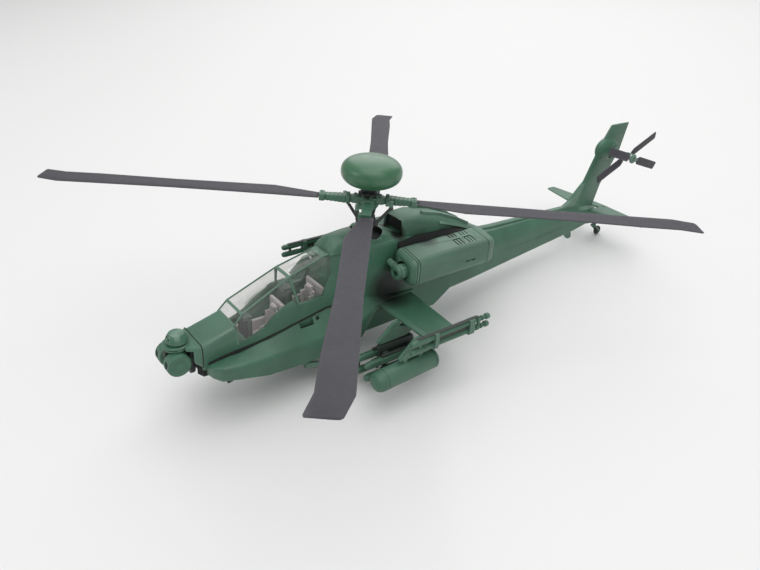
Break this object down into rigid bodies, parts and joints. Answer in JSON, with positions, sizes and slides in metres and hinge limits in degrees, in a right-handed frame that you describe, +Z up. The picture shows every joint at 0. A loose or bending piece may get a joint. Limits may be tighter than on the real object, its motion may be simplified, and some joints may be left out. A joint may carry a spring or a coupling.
{
  "type": "helicopter scale model",
  "caption": "Display model of a tandem-seat attack helicopter with stub wings, under-wing stores, a mast-top radome and turning rotors, standing on its wheels.",
  "frame": {"origin": "on the ground, midway across the wheels and midway between the nose end and the tail end of the rotor disc's and airframe's overall box", "axes": "+Z up, -Y towards the nose, +X towards the model's own left (port) side"},
  "size_m": [0.1579, 0.2222, 0.0651],
  "materials": {
    "airframe_green": "matt green paint over moulded styrene",
    "stores_green": "matt green paint, a little lighter than the airframe",
    "radome_green": "satin green",
    "blade_grey": "matt dark grey with darker leading edges",
    "dark_plastic": "matt near-black",
    "cockpit_grey": "matt warm grey",
    "seat_green": "matt dark green",
    "tyre_black": "matt black moulded tyre",
    "canopy_clear": "clear moulded styrene"
  },
  "bodies": {
    "airframe": {"boom_antenna": "airframe_green", "canopy_frame": "airframe_green", "canopy_glass": "canopy_clear", "cheek_left": "airframe_green", "cheek_right": "airframe_green", "cockpit_tub": "cockpit_grey", "engine_cowl": "airframe_green", "exhaust_left": "airframe_green", "exhaust_right": "airframe_green", "fuselage_left": "airframe_green", "fuselage_right": "airframe_green", "gear_leg_left": "airframe_green", "gear_leg_right": "airframe_green", "gearbox_left": "airframe_green", "gearbox_right": "airframe_green", "gunner_panel": "dark_plastic", "gunner_seat": "seat_green", "inner_pylon_left": "airframe_green", "inner_pylon_right": "airframe_green", "mast_base": "airframe_green", "missile_rack_left": "stores_green", "missile_rack_right": "stores_green", "nacelle_left": "airframe_green", "nacelle_right": "airframe_green", "nose_fairing": "airframe_green", "outer_pylon_left": "airframe_green", "outer_pylon_right": "airframe_green", "pilot_panel": "dark_plastic", "pilot_seat": "seat_green", "radome": "radome_green", "rocket_pod_left": "airframe_green", "rocket_pod_right": "airframe_green", "shaft_retainer": "dark_plastic", "tail_fin": "airframe_green", "tail_gearbox": "airframe_green", "tail_strut": "airframe_green", "tip_launcher_left": "stores_green", "tip_launcher_right": "stores_green", "wing_left": "airframe_green", "wing_right": "airframe_green"},
    "main_rotor": {"rotor_hub": "airframe_green", "main_blade_1": "blade_grey", "main_blade_2": "blade_grey", "main_blade_3": "blade_grey", "main_blade_4": "blade_grey", "rotor_shaft": "dark_plastic", "swashplate": "dark_plastic"},
    "tail_rotor": {"tail_rotor_hub": "dark_plastic", "tail_blades_outer": "blade_grey", "tail_blades_inner": "blade_grey"},
    "stabilator": {"stabilator": "airframe_green"},
    "sight_turret": {"sight_yoke": "dark_plastic"},
    "sight_drums": {"sight_drums": "airframe_green"},
    "night_sight": {"night_sight": "airframe_green"},
    "gun_turret": {"gun_mount": "airframe_green"},
    "gun": {"gun": "dark_plastic"},
    "left_wheel": {"main_wheel_left": "tyre_black"},
    "right_wheel": {"main_wheel_right": "tyre_black"},
    "tail_castor": {"tail_fork": "airframe_green"},
    "tail_wheel": {"tail_wheel": "tyre_black"}
  },
  "joints": [
    {"name": "main_rotor_spin", "type": "hinge", "parent": "airframe", "child": "main_rotor", "pos_m": [0, -0.03224, 0.0518], "axis": [0, 0.0785, 0.9969], "continuous": true},
    {"name": "tail_rotor_spin", "type": "hinge", "parent": "airframe", "child": "tail_rotor", "pos_m": [0.01, 0.0926, 0.03967], "axis": [1, 0, 0], "continuous": true},
    {"name": "stabilator_tilt", "type": "hinge", "parent": "airframe", "child": "stabilator", "pos_m": [0, 0.08627, 0.01539], "axis": [1, 0, 0], "range_deg": [-35, 5]},
    {"name": "sight_turret_yaw", "type": "hinge", "parent": "airframe", "child": "sight_turret", "pos_m": [0, -0.09988, 0.02211], "axis": [0, 0.0785, 0.9969], "range_deg": [-120, 120]},
    {"name": "sight_drums_pitch", "type": "hinge", "parent": "sight_turret", "child": "sight_drums", "pos_m": [0, -0.09988, 0.02211], "axis": [1, 0, 0], "range_deg": [-30, 60]},
    {"name": "night_sight_yaw", "type": "hinge", "parent": "airframe", "child": "night_sight", "pos_m": [0, -0.09796, 0.02728], "axis": [0, 0.0785, 0.9969], "range_deg": [-90, 90]},
    {"name": "gun_turret_yaw", "type": "hinge", "parent": "airframe", "child": "gun_turret", "pos_m": [0, -0.0629, 0.00627], "axis": [0, 0.0785, 0.9969], "range_deg": [-86, 86]},
    {"name": "gun_elevation", "type": "hinge", "parent": "gun_turret", "child": "gun", "pos_m": [0, -0.0629, 0.00627], "axis": [1, 0, 0], "range_deg": [-9, 11]},
    {"name": "left_wheel_spin", "type": "hinge", "parent": "airframe", "child": "left_wheel", "pos_m": [0.0141, -0.05144, 0.0046], "axis": [1, 0, 0], "continuous": true},
    {"name": "right_wheel_spin", "type": "hinge", "parent": "airframe", "child": "right_wheel", "pos_m": [-0.0141, -0.05144, 0.0046], "axis": [1, 0, 0], "continuous": true},
    {"name": "tail_castor_swivel", "type": "hinge", "parent": "airframe", "child": "tail_castor", "pos_m": [0, 0.09246, 0.005], "axis": [0, 0, 1], "continuous": true},
    {"name": "tail_wheel_spin", "type": "hinge", "parent": "tail_castor", "child": "tail_wheel", "pos_m": [0, 0.09566, 0.0019], "axis": [1, 0, 0], "continuous": true}
  ]
}
